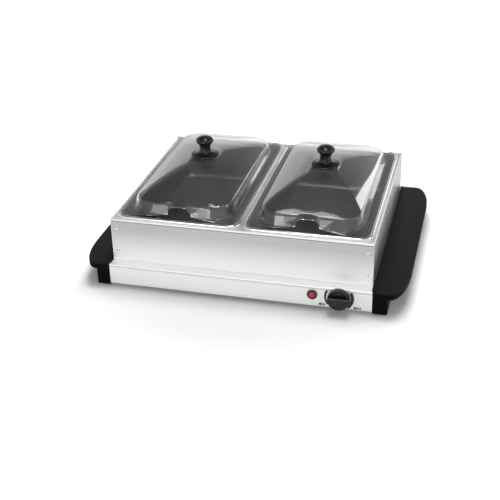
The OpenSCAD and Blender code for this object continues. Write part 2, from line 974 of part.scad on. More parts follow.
module terminal_block() {
    block_top = skirt_z + block_h;
    color(cream)
        difference() {
            translate([block_x - block_w / 2, block_y, skirt_z])
                cube([block_w, block_d, block_h]);
            for (i = [-1, 0, 1])
                translate([block_x + i * block_pitch, block_y + block_d / 2, 0])
                    post(block_hole, block_top - block_hole_h, block_top + cut);
        }
}

module thermal_fuse() {
    tail = fuse_len / 2 + fuse_wire;
    color(aluminium)
        translate([fuse_x, 0, fuse_z])
            rotate([90, 0, 0]) {
                post(fuse_d, -fuse_len / 2, fuse_len / 2);
                post(lead_d / 2, -tail, tail);
            }
}

function unit(v) = v / norm(v);

// The point a given way from one point towards another
function towards(from, to, way) = from + way * unit(to - from);

// A lead of eight sides swept through its points. Each end stops one solder gap short of its terminal.
module lead(route, d) {
    sides = 8;
    last = len(route) - 1;
    p = concat(
        [towards(route[0], route[1], solder_gap)],
        [for (i = [1 : last - 1]) route[i]],
        [towards(route[last], route[last - 1], solder_gap)]
    );
    points = [
        for (i = [0 : last])
            let (
                along = unit(p[min(i + 1, last)] - p[max(i - 1, 0)]),
                across = unit(cross(along, [0, 0, 1])),
                up = cross(across, along)
            )
            for (k = [0 : sides - 1])
                p[i] + d / 2 * (cos(360 * k / sides) * across + sin(360 * k / sides) * up)
    ];
    faces = concat(
        [[for (k = [sides - 1 : -1 : 0]) k]],
        [for (i = [0 : last - 1], k = [0 : sides - 1])
            let (j = (k + 1) % sides)
            [i * sides + k, i * sides + j, (i + 1) * sides + j]],
        [for (i = [0 : last - 1], k = [0 : sides - 1])
            let (j = (k + 1) % sides)
            [i * sides + k, (i + 1) * sides + j, (i + 1) * sides + k]],
        [[for (k = [0 : sides - 1]) last * sides + k]]
    );
    polyhedron(points, faces);
}

module wiring() {
    fuse_tail = fuse_len / 2 + fuse_wire;
    bulb_y = -base_d / 2 - bezel_h + lens_len + hole_fit + bulb_len;
    stat_back = -base_d / 2 + base_sheet + stat_d;
    lamp_pitch = 1.2;
    color("firebrick") {
        // Terminal block to thermostat
        lead([
            [block_x, block_y, block_lead_z], [block_x, block_y - 9, lead_z],
            [dial_x - 18, -60, lead_z], [dial_x - 2, blade_y + 3 * lead_end, lead_z + 3],
            [dial_x - blade_pitch / 2, blade_y + lead_end, dial_z],
            [dial_x - blade_pitch / 2, blade_y, dial_z]
        ], lead_d);
        // Thermostat to the front end of the element
        lead([
            [dial_x + blade_pitch / 2, blade_y, dial_z],
            [dial_x + blade_pitch / 2, blade_y + lead_end, dial_z], [side_x, blade_y + 3 * lead_end, dial_z],
            [side_x, 4 - element_y, element_z - 3], [pin_x, -element_y, element_z]
        ], lead_d);
        // Rear end of the element to the thermal fuse
        lead([
            [pin_x, element_y, element_z], [side_x, element_y - 6, element_z - 3],
            [side_x, fuse_tail + 20, element_z - 3], [fuse_x, fuse_tail, fuse_z]
        ], lead_d);
        // Thermal fuse back to the terminal block
        lead([
            [fuse_x, -fuse_tail, fuse_z], [side_x - 2, -fuse_tail - 8, element_z - 5],
            [side_x - 2, 0, lead_z + 4], [side_x - 4, block_y - 38, lead_z],
            [block_x + block_pitch, block_y - 10, lead_z], [block_x + block_pitch, block_y, block_lead_z]
        ], lead_d);
        // Lamp to the terminal block and to the thermostat
        lead([
            [lamp_x - lamp_pitch, bulb_y, lamp_z], [lamp_x - lamp_pitch, bulb_y + lead_end, lamp_z],
            [lamp_x - 6, bulb_y + 3 * lead_end, lead_z + 4],
            [block_x - block_pitch + 2, -40, lead_z], [block_x - block_pitch, block_y - 10, lead_z],
            [block_x - block_pitch, block_y, block_lead_z]
        ], lamp_lead_d);
        lead([
            [lamp_x + lamp_pitch, bulb_y, lamp_z], [lamp_x + lamp_pitch, bulb_y + lead_end, lamp_z],
            [lamp_x + 10, stat_back + 2 * lead_end, dial_z - 4],
            [dial_x - stat_w / 2 + 2, stat_back + 4, dial_z - 6],
            [dial_x - stat_w / 2 + 3, stat_back, dial_z - 6]
        ], lamp_lead_d);
    }
}

module cord_gland() {
    color(black)
        on_rear(gland_x, gland_z)
            rotate_extrude()
                polygon([
                    [gland_bore / 2, -base_sheet - gland_tail],
                    [gland_thread / 2, -base_sheet - gland_tail],
                    [gland_thread / 2, 0], [gland_head / 2, 0], [gland_head / 2, gland_reach / 2],
                    [gland_head / 2 - gland_taper, gland_reach], [gland_bore / 2, gland_reach]
                ]);
}

module gland_nut() {
    color(black)
        on_rear(gland_x, gland_z)
            hex_nut(gland_nut_w, gland_thread + hole_fit / 2, -base_sheet - gland_nut_h, -base_sheet);
}

// Frame

// Wall section with its outer face on the zero line and the inside towards positive values
module wall_section() {
    translate([0, base_top])
        square([frame_sheet, frame_h - frame_bend]);
    translate([0, base_top])
        square([foot_flange, frame_sheet]);
    translate([foot_bead / 2 - bead_out, base_top + foot_bead / 2])
        circle(d = foot_bead);
    translate([frame_bend, frame_top - frame_sheet])
        square([frame_flange - frame_bend, frame_sheet]);
    translate([frame_bend, frame_top - frame_bend])
        intersection() {
            difference() {
                circle(frame_bend);
                circle(frame_bend - frame_sheet);
            }
            translate([-frame_bend, 0])
                square(frame_bend);
        }
}

// Webs of the top flange that close the round corners of the pan openings
module corner_webs() {
    r = open_corner + pan_sheet + pan_clear;
    tip = r / 4;
    for (p = [-1, 1], side = [-1, 1])
        translate([
            p * pan_x + side * (pan_w / 2 - rim_corner), rim_corner - pan_d / 2, frame_top - frame_sheet
        ])
            linear_extrude(frame_sheet)
                difference() {
                    translate([side * r / 2 - r / 2, -r - frame_sheet])
                        square([r, r + frame_sheet - tip]);
                    circle(r);
                }
}

module long_panel() {
    difference() {
        union() {
            translate([0, -frame_d / 2, 0])
                along_x(frame_w)
                    wall_section();
            corner_webs();
        }
        at_rivets()
            post(rivet_d + hole_fit, -frame_sheet - cut, rivet_head_h + cut);
    }
}

module frame_front_panel() {
    color(steel)
        long_panel();
}

module frame_rear_panel() {
    color(steel)
        rotate([0, 0, 180])
            long_panel();
}

// Right-hand wall between the long panels, coped round their flanges, with a tab at each end
module side_panel() {
    length = frame_d - 2 * frame_sheet;
    tab_low = base_top + foot_bead;
    tab_high = frame_top - frame_bend;
    cope = 2 * (corner_tab + cut);
    difference() {
        union() {
            translate([frame_w / 2, 0, 0])
                mirror([1, 0, 0])
                    along_y(length)
                        wall_section();
            for (side = [-1, 1])
                translate([
                    frame_w / 2 - corner_tab,
                    side * (length - frame_sheet) / 2 - frame_sheet / 2,
                    tab_low
                ])
                    cube([corner_tab - frame_sheet / 2, frame_sheet, tab_high - tab_low]);
        }
        for (side = [-1, 1]) {
            translate([frame_w / 2, side * (frame_d / 2), frame_top])
                cube([cope, 2 * (frame_flange + hole_fit), 2 * frame_bend], center = true);
            translate([frame_w / 2, side * (frame_d / 2), base_top])
                cube([cope, 2 * (foot_flange + hole_fit), 2 * foot_bead], center = true);
        }
        at_rivets()
            post(rivet_d + hole_fit, -3 * frame_sheet, cut);
    }
}

module frame_right_panel() {
    color(steel)
        side_panel();
}

module frame_left_panel() {
    color(steel)
        rotate([0, 0, 180])
            side_panel();
}

module center_rail() {
    color(steel)
        difference() {
            along_y(frame_d - 2 * frame_sheet)
                difference() {
                    translate([-rail_w / 2, frame_top - rail_h])
                        square([rail_w, rail_h]);
                    translate([frame_sheet - rail_w / 2, frame_top - rail_h - cut])
                        square([rail_w - 2 * frame_sheet, rail_h - frame_sheet + cut]);
                }
            for (side = [-1, 1])
                translate([0, side * frame_d / 2, frame_top])
                    cube([2 * rail_w, 2 * (frame_flange + hole_fit), 2 * frame_bend], center = true);
        }
}

module frame_rivets() {
    grip = 2 * frame_sheet;
    head_r = (pow(rivet_head / 2, 2) + pow(rivet_head_h, 2)) / (2 * rivet_head_h);
    color(steel)
        at_rivets() {
            post(rivet_d, -grip - rivet_head_h, rivet_head_h / 2);
            post(rivet_tail, -grip - rivet_head_h, -grip);
            intersection() {
                translate([0, 0, rivet_head_h - head_r])
                    sphere(head_r);
                post(rivet_head, 0, 2 * rivet_head_h);
            }
        }
}

// Pans

module well(grow, floor_z, top_z) {
    hull() {
        slab(well_w + 2 * grow, well_d + 2 * grow, well_corner + grow, ledge_z, top_z - ledge_z);
        for (t = [0, 30, 60, 90]) {
            lean = 2 * (grow - well_draft - well_edge * (1 - sin(t)));
            edge_z = floor_z + well_edge * (1 - cos(t));
            slab(well_w + lean, well_d + lean, well_corner + grow, edge_z, slice);
        }
    }
}

module pan() {
    shoulder_w = open_w + 2 * pan_sheet;
    shoulder_d = open_d + 2 * pan_sheet;
    band(pan_w, pan_d, rim_corner, rim_w, rim_top - pan_sheet, pan_sheet);
    band(pan_w, pan_d, rim_corner, pan_sheet, frame_top, rim_drop);
    band(shoulder_w, shoulder_d, open_corner + pan_sheet, pan_sheet, ledge_z - pan_sheet,
        ledge_drop + pan_sheet);
    difference() {
        union() {
            slab(shoulder_w, shoulder_d, open_corner + pan_sheet, ledge_z - pan_sheet, pan_sheet);
            well(pan_sheet, pan_bottom, ledge_z + slice);
        }
        well(0, pan_bottom + pan_sheet, ledge_z + cut);
        slab(open_w, open_d, open_corner, ledge_z, cut);
    }
}

module left_pan() {
    color(steel)
        translate([-pan_x, 0, 0])
            pan();
}

module right_pan() {
    color(steel)
        translate([pan_x, 0, 0])
            pan();
}

// Lids

// One level ring of a dome: a rounded rectangle with half sizes a and b
function ring_points(a, b, r, z) = [
    for (c = [0 : 3], j = [0 : corner_steps])
        let (
            t = 90 * c + 90 * j / corner_steps,
            sx = c == 0 || c == 3 ? 1 : -1,
            sy = c < 2 ? 1 : -1
        )
        [sx * (a - r) + r * cos(t), sy * (b - r) + r * sin(t), z]
];

// A steep wall from z0 to z1, and on it a crown that rises as one minus the square of the ring's share.
// The crown's rings grow rounder towards the middle.
module dome(a, b, r, z0, z1) {
    top_a = a - dome_inset;
    top_b = b - dome_inset;
    top_r = r - dome_inset;
    rings = concat(
        [ring_points(a, b, r, z0)],
        [for (s = crown_steps)
            ring_points(
                top_a * s, top_b * s, s * (top_r + (top_a - top_r) * (1 - s)),
                z1 + dome_rise * (1 - s * s)
            )]
    );
    points = concat([for (ring = rings) each ring], [[0, 0, z1 + dome_rise]]);
    last = len(rings) - 1;
    apex = len(points) - 1;
    faces = concat(
        [[for (k = [0 : ring_len - 1]) k]],
        [for (i = [0 : last - 1], k = [0 : ring_len - 1])
            let (j = (k + 1) % ring_len)
            [i * ring_len + k, (i + 1) * ring_len + k, (i + 1) * ring_len + j]],
        [for (i = [0 : last - 1], k = [0 : ring_len - 1])
            let (j = (k + 1) % ring_len)
            [i * ring_len + k, (i + 1) * ring_len + j, i * ring_len + j]],
        [for (k = [0 : ring_len - 1])
            [last * ring_len + k, apex, last * ring_len + (k + 1) % ring_len]]
    );
    polyhedron(points, faces);
}

// Arched opening in the front wall, drawn in X and Z
module notch_section() {
    translate([0, ledge_z - cut])
        round_top(notch_w, notch_h + cut, notch_corner);
}

module lid() {
    notch_deep = lid_flange + dome_inset + 2 * lid_t;
    difference() {
        union() {
            difference() {
                union() {
                    slab(flange_w, flange_d, flange_corner, ledge_z, lid_t);
                    dome(dome_a, dome_b, dome_corner, ledge_z, shoulder_z);
                }
                dome(dome_a - lid_t, dome_b - lid_t, dome_corner - lid_t, ledge_z - cut,
                    shoulder_z - lid_t);
            }
            post(boss_d, crown_z - lid_t / 2, boss_top);
            post(boss_d / 2, boss_under, crown_z);
        }
        translate([0, notch_deep / 2 - flange_d / 2 - cut, 0])
            along_y(notch_deep + 2 * cut)
                notch_section();
        post(knob_screw_d + hole_fit, boss_under - cut, boss_top + cut);
    }
}

module left_lid() {
    color(clear)
        translate([-pan_x, 0, 0])
            lid();
}

module right_lid() {
    color(clear)
        translate([pan_x, 0, 0])
            lid();
}

// Half profile of the knob: a thin edge, a concave flare, the neck and an egg-shaped bulb
function knob_profile() = concat(
    [[0, 0], [knob_foot / 2, 0], [knob_foot / 2, knob_edge]],
    [for (t = [0 : 10 : 90])
        [
            knob_neck / 2 + (knob_foot - knob_neck) / 2 * (1 - sin(t)),
            knob_edge + knob_flare_h * (1 - cos(t))
        ]],
    [for (t = [-60 : 10 : 80])
        [
            max(knob_neck / 2, knob_bulb / 2 * cos(t)),
            knob_h - knob_crown_h + (t < 0 ? knob_bulb_h - knob_crown_h : knob_crown_h) * sin(t)
        ]],
    [[0, knob_h]]
);

module lid_knob() {
    translate([0, 0, boss_top])
        difference() {
            rotate_extrude()
                polygon(knob_profile());
            post(knob_screw_d + hole_fit / 2, -cut, knob_screw_in + hole_fit);
        }
}

module left_lid_knob() {
    color(black)
        translate([-pan_x, 0, 0])
            lid_knob();
}

module right_lid_knob() {
    color(black)
        translate([pan_x, 0, 0])
            lid_knob();
}

module knob_screw() {
    post(2 * knob_screw_d, screw_head_z - knob_screw_d / 2, screw_head_z);
    post(knob_screw_d, screw_head_z - knob_screw_d / 4, boss_top + knob_screw_in);
}

module left_knob_screw() {
    color(dark_steel)
        translate([-pan_x, 0, 0])
            knob_screw();
}

module right_knob_screw() {
    color(dark_steel)
        translate([pan_x, 0, 0])
            knob_screw();
}

module knob_washer() {
    difference() {
        post(washer_d, screw_head_z, boss_under);
        post(knob_screw_d + hole_fit, screw_head_z - cut, boss_under + cut);
    }
}

module left_knob_washer() {
    color(aluminium)
        translate([-pan_x, 0, 0])
            knob_washer();
}

module right_knob_washer() {
    color(aluminium)
        translate([pan_x, 0, 0])
            knob_washer();
}

base_shell();
left_handle();
right_handle();
handle_screws();
rubber_feet();
bottom_cover();
cover_screws();
heat_spreader();
heating_element();
element_clips();
insulation_pad();
heat_shield();
shield_studs();
shield_nuts();
thermostat_body();
thermostat_nut();
lamp_bezel();
lamp_lens();
neon_bulb();
lamp_clip();
terminal_block();
thermal_fuse();
wiring();
cord_gland();
gland_nut();
control_dial();
thermostat_shaft();
frame_front_panel();
frame_rear_panel();
frame_left_panel();
frame_right_panel();
center_rail();
frame_rivets();
left_pan();
right_pan();
left_lid();
right_lid();
left_lid_knob();
right_lid_knob();
left_knob_screw();
right_knob_screw();
left_knob_washer();
right_knob_washer();
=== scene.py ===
import math

import bmesh
import bpy
import numpy as np
from mathutils import Matrix, Vector


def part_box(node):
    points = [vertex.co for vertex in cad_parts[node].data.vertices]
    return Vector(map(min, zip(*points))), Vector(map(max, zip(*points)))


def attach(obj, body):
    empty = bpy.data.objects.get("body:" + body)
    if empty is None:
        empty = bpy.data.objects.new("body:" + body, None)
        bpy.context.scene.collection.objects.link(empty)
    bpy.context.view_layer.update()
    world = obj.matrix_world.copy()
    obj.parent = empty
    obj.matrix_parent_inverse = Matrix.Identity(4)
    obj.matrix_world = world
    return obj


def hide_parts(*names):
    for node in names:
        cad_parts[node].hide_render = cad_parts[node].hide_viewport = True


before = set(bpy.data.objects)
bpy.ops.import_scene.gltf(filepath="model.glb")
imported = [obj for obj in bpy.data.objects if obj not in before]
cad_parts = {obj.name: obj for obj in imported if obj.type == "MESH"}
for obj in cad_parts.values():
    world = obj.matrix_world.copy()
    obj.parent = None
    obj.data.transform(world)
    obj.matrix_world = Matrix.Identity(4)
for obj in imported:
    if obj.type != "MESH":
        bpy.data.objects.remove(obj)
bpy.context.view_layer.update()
scene = bpy.context.scene
scene.view_settings.view_transform = "Standard"

# Camera: in front of the object, a little to its right and well above it, as in the photograph.
# Its focal length is in pixels of a frame 500 pixels wide, and it is rolled slightly to its left.
azimuth, elevation, roll = (math.radians(angle) for angle in (14.955, 28.639, -1.464))
eye = (0.3089, -1.2495, 0.6916)
focal_px, frame_px = 987.0, 500
back = np.array([
    math.sin(azimuth) * math.cos(elevation), -math.cos(azimuth) * math.cos(elevation), math.sin(elevation)
])
level = np.array([math.cos(azimuth), math.sin(azimuth), 0])
rise = np.cross(back, level)
rightward = math.cos(roll) * level + math.sin(roll) * rise
upward = math.cos(roll) * rise - math.sin(roll) * level
camera = bpy.data.objects.new("camera", bpy.data.cameras.new("camera"))
camera.data.lens = camera.data.sensor_width * focal_px / frame_px
camera.matrix_world = Matrix.Translation(eye) @ Matrix(np.stack([rightward, upward, back], 1)).to_4x4()
scene.collection.objects.link(camera)
scene.camera = camera


# Table and studio: a wide pale sheet under the object, a pale room and five soft boxes.
# Seen straight, in metal or through the lids, sheet and room are white; the sheet keeps the shadow.
def worked_out(tree, operation, *terms):
    """One Math node: each term is a number or another node's output."""
    step = tree.nodes.new("ShaderNodeMath")
    step.operation = operation
    for port, term in zip(step.inputs, terms):
        if isinstance(term, bpy.types.NodeSocket):
            tree.links.new(term, port)
        else:
            port.default_value = term
    return step.outputs[0]


def ramped(tree, value, start, end, low, high, kind="LINEAR"):
    """Low where value is at start, high where it is at end, and the same beyond them."""
    ramp = tree.nodes.new("ShaderNodeMapRange")
    ramp.interpolation_type = kind
    for port, number in zip(("From Min", "From Max", "To Min", "To Max"), (start, end, low, high)):
        ramp.inputs[port].default_value = number
    tree.links.new(value, ramp.inputs["Value"])
    return ramp.outputs["Result"]


def coordinate(tree, axis):
    """Object coordinate along X, Y or Z."""
    place = tree.nodes.new("ShaderNodeTexCoord")
    parts = tree.nodes.new("ShaderNodeSeparateXYZ")
    tree.links.new(place.outputs["Object"], parts.inputs["Vector"])
    return parts.outputs[axis]


def ray_share(tree, *kinds):
    """1 for a ray of any of these kinds, and 0 for all others."""
    path = tree.nodes.new("ShaderNodeLightPath")
    share = path.outputs[kinds[0]]
    for kind in kinds[1:]:
        share = worked_out(tree, "MAXIMUM", share, path.outputs[kind])
    return share


def studio_room():
    """A world that is white in front and round the horizon, and dark overhead and high behind.

    Its shade follows the direction's height plus a share of its depth. As a light it is dimmer than
    it looks from the camera, off metal or through a clear piece.
    """
    world = bpy.data.worlds.new("studio")
    world.use_nodes = True
    tree = world.node_tree
    shader = tree.nodes["Background"]
    direction = tree.nodes.new("ShaderNodeTexCoord")
    height = tree.nodes.new("ShaderNodeVectorMath")
    height.operation = "DOT_PRODUCT"
    height.inputs[1].default_value = (0, depth_share, 1)
    shade = tree.nodes.new("ShaderNodeValToRGB")
    walls, ceiling = shade.color_ramp.elements
    walls.position, walls.color = walls_end, (1, 1, 1, 1)
    ceiling.position, ceiling.color = ceiling_start, (*ceiling_dark, 1)
    tree.links.new(direction.outputs["Generated"], height.inputs[0])
    tree.links.new(height.outputs["Value"], shade.inputs["Fac"])
    tree.links.new(shade.outputs["Color"], shader.inputs["Color"])
    seen = ray_share(tree, "Is Camera Ray", "Is Glossy Ray", "Is Transmission Ray")
    tree.links.new(ramped(tree, seen, 0, 1, room_light, 1), shader.inputs["Strength"])
    return world


def white_sheet():
    """Matt white paper that glows where it is seen straight, away from the object and beyond its ends.

    In metal it glows a little and alike everywhere, so that brushed walls show a pale table.
    """
    finish = bpy.data.materials.new("white_sheet")
    finish.use_nodes = True
    tree = finish.node_tree
    paper = tree.nodes["Principled BSDF"]
    paper.inputs["Base Color"].default_value = (*paper_white, 1)
    paper.inputs["Roughness"].default_value = 1
    paper.inputs["Specular IOR Level"].default_value = 0
    paper.inputs["Emission Color"].default_value = (1, 1, 1, 1)
    place = tree.nodes.new("ShaderNodeTexCoord")
    distance = tree.nodes.new("ShaderNodeVectorMath")
    distance.operation = "LENGTH"
    tree.links.new(place.outputs["Object"], distance.inputs[0])
    sideways = worked_out(tree, "ABSOLUTE", coordinate(tree, "X"))
    away = ramped(tree, distance.outputs["Value"], *away_span, 0, away_glow, "SMOOTHSTEP")
    beyond = ramped(tree, sideways, *ends_span, 0, ends_glow, "SMOOTHSTEP")
    glow = worked_out(tree, "MAXIMUM", away, beyond)
    seen = worked_out(tree, "MULTIPLY", glow, ray_share(tree, "Is Camera Ray", "Is Transmission Ray"))
    in_metal = worked_out(tree, "MULTIPLY", ray_share(tree, "Is Glossy Ray"), metal_glow)
    tree.links.new(worked_out(tree, "MAXIMUM", in_metal, seen), paper.inputs["Emission Strength"])
    return finish


def softbox(name, place, aim, width, height, watts):
    """A soft rectangular lamp at a place, facing its aim."""
    lamp = bpy.data.lights.new(name, "AREA")
    lamp.shape = "RECTANGLE"
    lamp.size, lamp.size_y = width, height
    lamp.energy = watts
    holder = bpy.data.objects.new(name, lamp)
    turn = (Vector(aim) - Vector(place)).to_track_quat("-Z", "Y")
    holder.matrix_world = Matrix.Translation(place) @ turn.to_matrix().to_4x4()
    scene.collection.objects.link(holder)
    return holder


depth_share, walls_end, ceiling_start, ceiling_dark = 0.35, 0.55, 0.80, (0.10, 0.10, 0.105)
room_light = 0.40
scene.world = studio_room()
paper_white = (0.80, 0.80, 0.80)
away_span, away_glow = (0.18, 0.50), 0.75
ends_span, ends_glow = (0.20, 0.27), 0.60
metal_glow = 0.20
sheet_reach = 8.0
sheet_mesh = bpy.data.meshes.new("sheet")
sheet_corners = [(x * sheet_reach, y * sheet_reach, 0) for x, y in ((-1, -1), (1, -1), (1, 1), (-1, 1))]
sheet_mesh.from_pydata(sheet_corners, [], [(0, 1, 2, 3)])
sheet_mesh.materials.append(white_sheet())
sheet = bpy.data.objects.new("sheet", sheet_mesh)
scene.collection.objects.link(sheet)
key_box = softbox("key_box", (0.05, 0.40, 1.50), (0, 0, 0.05), 1.0, 0.6, 15)
key_box.visible_glossy = False
softbox("top_box", (0.05, 0.02, 1.50), (0, 0, 0.05), 1.1, 0.35, 7)
softbox("front_box", (-0.40, -1.65, 0.22), (0, 0, 0.10), 0.5, 0.4, 3)
softbox("right_box", (1.20, 0.05, 0.60), (0.05, 0, 0.09), 0.15, 0.9, 1.5)
softbox("back_box", (0.74, 1.78, 0.78), (0, 0, 0.12), 0.20, 0.50, 1.2)


# Base shell: one folded stainless sheet, a flat top with front and rear skirts, brushed along its length.
# Its lips turn in under both edges, and the end caps close its ends. The top is painted bright as a
# painted highlight, and a band just below the top bend is painted dull as painted shade.
def grained(name, dark, light, scale, rough, relief, detail=4.0, **sockets):
    """A finish whose colour, roughness and relief follow one noise on Object coordinates.

    scale is the noise's cycles per metre, one number or one for each axis, rough its least and greatest
    roughness and relief the height of its bumps in metres. Other values go to the shader's own sockets.
    """
    finish = bpy.data.materials.new(name)
    finish.use_nodes = True
    tree = finish.node_tree
    shader = tree.nodes["Principled BSDF"]
    for socket, value in sockets.items():
        shader.inputs[socket.replace("_", " ")].default_value = value
    place = tree.nodes.new("ShaderNodeTexCoord")
    stretch = tree.nodes.new("ShaderNodeMapping")
    stretch.inputs["Scale"].default_value = np.broadcast_to(scale, 3).tolist()
    noise = tree.nodes.new("ShaderNodeTexNoise")
    noise.inputs["Scale"].default_value = 1
    noise.inputs["Detail"].default_value = detail
    colour = tree.nodes.new("ShaderNodeValToRGB")
    for element, share, shade in zip(colour.color_ramp.elements, noise_span, (dark, light)):
        element.position, element.color = share, (*shade, 1)
    bump = tree.nodes.new("ShaderNodeBump")
    bump.inputs["Distance"].default_value = relief
    grain = noise.outputs["Fac"]
    tree.links.new(place.outputs["Object"], stretch.inputs["Vector"])
    tree.links.new(stretch.outputs["Vector"], noise.inputs["Vector"])
    tree.links.new(grain, colour.inputs["Fac"])
    tree.links.new(colour.outputs["Color"], shader.inputs["Base Color"])
    tree.links.new(ramped(tree, grain, *noise_span, *rough), shader.inputs["Roughness"])
    tree.links.new(grain, bump.inputs["Height"])
    tree.links.new(bump.outputs["Normal"], shader.inputs["Normal"])
    return finish


def handled(finish, size, dulling):
    """Adds slow clouds, as fingers leave on metal, that dull the finish by up to dulling."""
    tree = finish.node_tree
    place = tree.nodes.new("ShaderNodeTexCoord")
    clouds = tree.nodes.new("ShaderNodeTexNoise")
    clouds.inputs["Scale"].default_value = 1 / size
    clouds.inputs["Detail"].default_value = 3
    tree.links.new(place.outputs["Object"], clouds.inputs["Vector"])
    amount = ramped(tree, clouds.outputs["Fac"], *cloud_span, 0, dulling)
    rough = tree.nodes["Principled BSDF"].inputs["Roughness"]
    tree.links.new(worked_out(tree, "ADD", rough.links[0].from_socket, amount), rough)
    return finish


def blended(finish, share, changes):
    """Carries a finish over to other values where share is 1: each change is a socket, its kind and value."""
    tree = finish.node_tree
    shader = tree.nodes["Principled BSDF"]
    for socket, kind, value in changes:
        blend = tree.nodes.new("ShaderNodeMix")
        blend.data_type = kind
        factor, plain, other = (port for port in blend.inputs if port.enabled)
        other.default_value = value
        tree.links.new(share, factor)
        tree.links.new(shader.inputs[socket].links[0].from_socket, plain)
        tree.links.new(next(port for port in blend.outputs if port.enabled), shader.inputs[socket])
    return finish


def painted_by_height(finish, plain_z, painted_z, colour, rough):
    """Paints light and shade into a finish by height: colour and roughness change from none at plain_z to all
    at the second height.
    """
    tree = finish.node_tree
    share = ramped(tree, coordinate(tree, "Z"), plain_z, painted_z, 0, 1)
    return blended(finish, share, [("Base Color", "RGBA", (*colour, 1)), ("Roughness", "FLOAT", rough)])


def dress(finish, *nodes):
    """Gives a finish to nodes that keep their own mesh."""
    for node in nodes:
        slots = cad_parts[node].data.materials
        slots.clear()
        slots.append(finish)


noise_span, cloud_span = (0.3, 0.7), (0.4, 0.7)
grain_along, grain_across = 5, 900
# The base's steel is painted lighter than the frame's steel of the same kind, as painted light on its skirt
# and top.
base_steel = handled(grained(
    "base_steel", (0.78, 0.78, 0.775), (0.86, 0.86, 0.855), (grain_along, grain_across, grain_across),
    (0.50, 0.60), 0.00003, Metallic=1.0, Anisotropic=0.4
), 0.06, 0.05)
skirt_low, skirt_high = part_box("base_shell")
fold_fade, fold_rough = 0.0006, 0.56
bend_r, bend_h = 0.0015, 0.0022
bend_z = skirt_high.z - bend_r
# Painted shade on a band just below the top bend, and a painted highlight on the top.
painted_bend_shade, painted_top_highlight = (0.60, 0.60, 0.595), (0.97, 0.97, 0.965)
painted_by_height(base_steel, bend_z - bend_h - fold_fade, bend_z - bend_h, painted_bend_shade, fold_rough)
painted_by_height(base_steel, bend_z - fold_fade, bend_z, painted_top_highlight, fold_rough)
dress(base_steel, "base_shell")


# Scale marks: a wedge that thickens from MIN to MAX round the dial, screen printed in black ink on the
# front skirt. The dial's disc covers its middle, and the skirt's top bend cuts it in two.
def surface(grid, around=False, first=False, last=False):
    """Points and faces over a grid of rows and columns, each cell one face.

    A face runs along its columns, then its rows, and its outside is where that turns to the left.
    around joins the last column to the first; first and last close those rows with one flat face.
    """
    rows, columns = grid.shape[:2]
    number = np.arange(rows * columns).reshape(rows, columns)
    near = number if around else number[:, :-1]
    far = np.roll(number, -1, axis=1) if around else number[:, 1:]
    faces = np.stack([near[:-1], far[:-1], far[1:], near[1:]], axis=-1).reshape(-1, 4).tolist()
    if first:
        faces.append(number[0, ::-1].tolist())
    if last:
        faces.append(number[-1].tolist())
    return grid.reshape(-1, 3), faces


def piece(name, parts, finish, body, slot, *nodes):
    """One object at the origin from several parts, each points and faces.

    Points that coincide are merged, and edges are smooth below the sharp angle.
    """
    starts = np.cumsum([0] + [len(points) for points, faces in parts])
    points = np.concatenate([points for points, faces in parts])
    faces = [[k + start for k in face] for (_, part), start in zip(parts, starts) for face in part]
    mesh = bpy.data.meshes.new(name)
    mesh.from_pydata(points.tolist(), [], faces)
    work = bmesh.new()
    work.from_mesh(mesh)
    bmesh.ops.remove_doubles(work, verts=work.verts, dist=merge_gap)
    bmesh.ops.delete(work, geom=[v for v in work.verts if not v.link_faces], context="VERTS")
    work.to_mesh(mesh)
    work.free()
    mesh.shade_smooth()
    mesh.set_sharp_from_angle(angle=sharp_angle)
    mesh.materials.append(finish)
    made = bpy.data.objects.new(name, mesh)
    scene.collection.objects.link(made)
    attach(made, body)
    if nodes:
        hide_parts(*nodes)
    return made


def wedge(first_angle, last_angle, steps=24):
    """Flat stretch of the scale: angle down one way, from the inner to the outer edge the other way.

    Its width grows evenly with the angle from MIN, and its outer edge is a circle about the dial.
    """
    angle = np.radians(np.linspace(first_angle, last_angle, steps + 1))[:, None]
    share = (math.radians(scale_from) - angle) / math.radians(scale_from - scale_to)
    width = scale_thin + (scale_thick - scale_thin) * share
    radius = scale_r - width * np.array([1.0, 0.0])
    x = dial_x + radius * np.cos(angle)
    z = dial_z + radius * np.sin(angle)
    return surface(np.stack([x, np.full_like(x, ink_y), z], axis=-1))


def printed_word(word, right, up):
    """A small word on the skirt, right of and above the dial's middle, from a flat text made a mesh."""
    text = bpy.data.curves.new(word, "FONT")
    text.body = word
    text.size = word_h
    text.offset = word_bold
    text.align_x = text.align_y = "CENTER"
    holder = bpy.data.objects.new(word, text)
    scene.collection.objects.link(holder)
    mesh = bpy.data.meshes.new_from_object(holder.evaluated_get(bpy.context.evaluated_depsgraph_get()))
    bpy.data.objects.remove(holder)
    bpy.data.curves.remove(text)
    points = np.empty(len(mesh.vertices) * 3)
    mesh.vertices.foreach_get("co", points)
    flat_x, flat_y, _ = points.reshape(-1, 3).T
    faces = [list(polygon.vertices) for polygon in mesh.polygons]
    bpy.data.meshes.remove(mesh)
    x = word_narrow * flat_x + (dial_x + right)
    return np.stack([x, np.full_like(x, ink_y), flat_y + (dial_z + up)], axis=-1), faces


merge_gap, sharp_angle = 1e-6, math.radians(40)
dial_low, dial_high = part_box("control_dial")
dial_x = (dial_low.x + dial_high.x) / 2
dial_z = (dial_low.z + dial_high.z) / 2
ink_h = 0.00006
ink_y = skirt_low.y - ink_h
scale_r = 0.0197
scale_thin, scale_thick = 0.0024, 0.0050
scale_from, left_end, right_end, scale_to = 217, 150, 30, -52
word_h, word_bold, word_narrow = 0.0058, 0.00016, 0.84
min_place, max_place = (-0.0225, -0.0124), (0.0245, -0.0132)
ink = grained("scale_ink", (0.010, 0.010, 0.011), (0.020, 0.020, 0.020), 900, (0.45, 0.65), 0.00001)
piece("scale_marks", [
    wedge(left_end, scale_from), wedge(scale_to, right_end),
    printed_word("MIN", *min_place), printed_word("MAX", *max_place)
], ink, "base", "dial_black")
